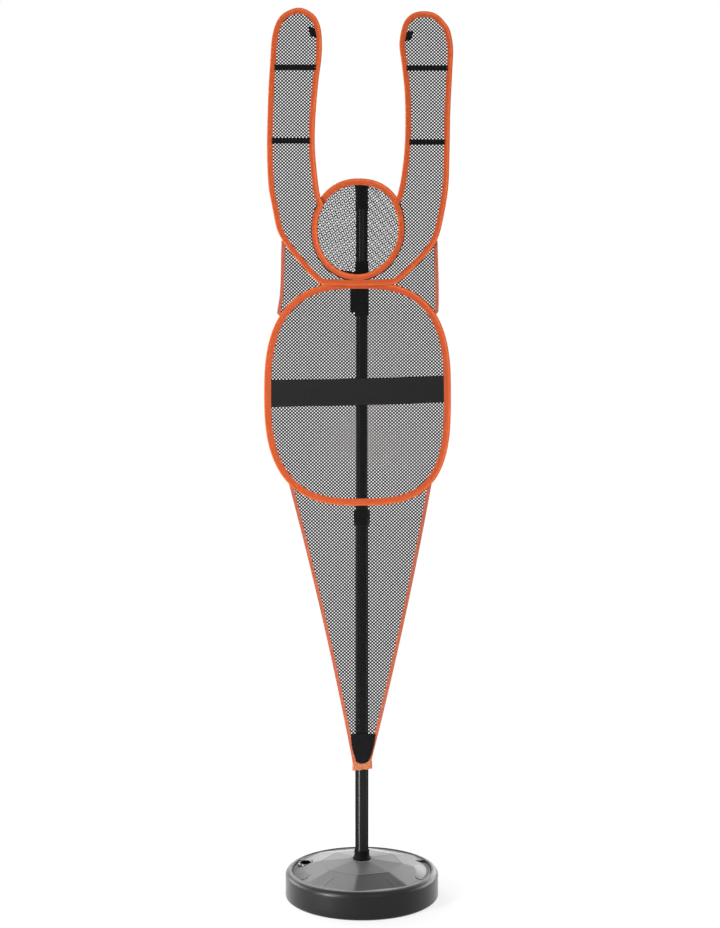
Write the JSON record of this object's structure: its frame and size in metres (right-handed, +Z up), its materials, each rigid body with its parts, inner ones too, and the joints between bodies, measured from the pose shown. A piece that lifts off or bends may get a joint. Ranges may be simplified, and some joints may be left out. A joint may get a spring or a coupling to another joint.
{
  "type": "basketball defensive mannequin",
  "caption": "Flat net figure with raised arms, stretched on sprung hoops and carried by a telescoping pole that stands in a round fillable base.",
  "frame": {"origin": "middle of the base's underside, on the floor", "axes": "+Z up along the pole, -Y out of the figure's front, +X to its left-hand side as it faces the player"},
  "size_m": [0.4537, 0.369, 2.1352],
  "materials": {
    "black_hdpe": "moulded, fine satin",
    "socket_plastic": "matte black",
    "cap_plastic": "satin black",
    "seal_rubber": "matte",
    "lock_plastic": "satin black",
    "painted_steel": "gloss black powder coat",
    "spring_steel": "bright round wire",
    "orange_tape": "woven folded tape",
    "side_tape": "thin dull woven tape",
    "hem_tape": "woven tape",
    "black_mesh": "open knitted mesh",
    "black_webbing": "woven webbing",
    "pocket_fabric": "plain woven",
    "chest_fabric": "plain dark charcoal, bare of its printing"
  },
  "bodies": {
    "base": {"base_tank": "black_hdpe", "pole_socket": "socket_plastic"},
    "fill_seal": {"fill_cap_seal": "seal_rubber"},
    "fill_cap": {"fill_cap": "cap_plastic"},
    "lower_pole": {"lower_tube": "painted_steel", "lock_body": "lock_plastic"},
    "lock": {"lock_nut": "lock_plastic"},
    "upper_pole": {"upper_tube": "painted_steel", "upper_tube_plug": "lock_plastic", "top_cap": "lock_plastic", "head_pocket": "pocket_fabric", "head_strap": "black_webbing", "torso_top_strap": "black_webbing", "torso_wire": "spring_steel", "torso_binding": "orange_tape", "torso_mesh": "black_mesh", "head_wire": "spring_steel", "head_binding": "orange_tape", "head_mesh_front": "black_mesh", "head_mesh_back": "black_mesh", "arms_wire": "spring_steel", "arms_binding": "orange_tape", "arms_mesh": "black_mesh", "chest_band": "chest_fabric", "arm_band_left_upper": "black_webbing", "arm_band_left_lower": "black_webbing", "arm_band_right_upper": "black_webbing", "arm_band_right_lower": "black_webbing", "hand_tab_left": "black_webbing", "hand_tab_right": "black_webbing", "shoulder_mesh_left": "black_mesh", "shoulder_mesh_right": "black_mesh", "shoulder_binding_left": "side_tape", "shoulder_binding_right": "side_tape", "skirt_mesh": "black_mesh", "skirt_binding_left": "side_tape", "skirt_binding_right": "side_tape"},
    "hem": {"hem_loop": "hem_tape", "foot_patch": "pocket_fabric"}
  },
  "joints": [
    {"name": "pole_turn", "type": "hinge", "parent": "base", "child": "lower_pole", "pos_m": [0, 0, 0.1], "axis": [0, 0, 1], "continuous": true},
    {"name": "lock_turn", "type": "hinge", "parent": "lower_pole", "child": "lock", "pos_m": [0, 0, 0.915], "axis": [0, 0, 1], "range_deg": [0, 120]},
    {"name": "height_slide", "type": "slide", "parent": "lower_pole", "child": "upper_pole", "axis": [0, 0, 1], "range_m": [-0.46, 0]},
    {"name": "hem_slide", "type": "slide", "parent": "upper_pole", "child": "hem", "axis": [0, 0, 1], "range_m": [0, 0.33], "deforming": ["skirt_mesh", "skirt_binding_left", "skirt_binding_right"]},
    {"name": "cap_lift", "type": "slide", "parent": "base", "child": "fill_seal", "axis": [0, 0, 1], "range_m": [0, 0.009]},
    {"name": "cap_turn", "type": "hinge", "parent": "fill_seal", "child": "fill_cap", "pos_m": [-0.137, 0.026, 0.07], "axis": [0, 0, 1], "range_deg": [0, 1080]}
  ],
  "couplings": [
    {"joint": "hem_slide", "follows": "height_slide", "ratio": -0.7},
    {"joint": "cap_turn", "follows": "cap_lift", "rad_per_m": 2094.4}
  ]
}
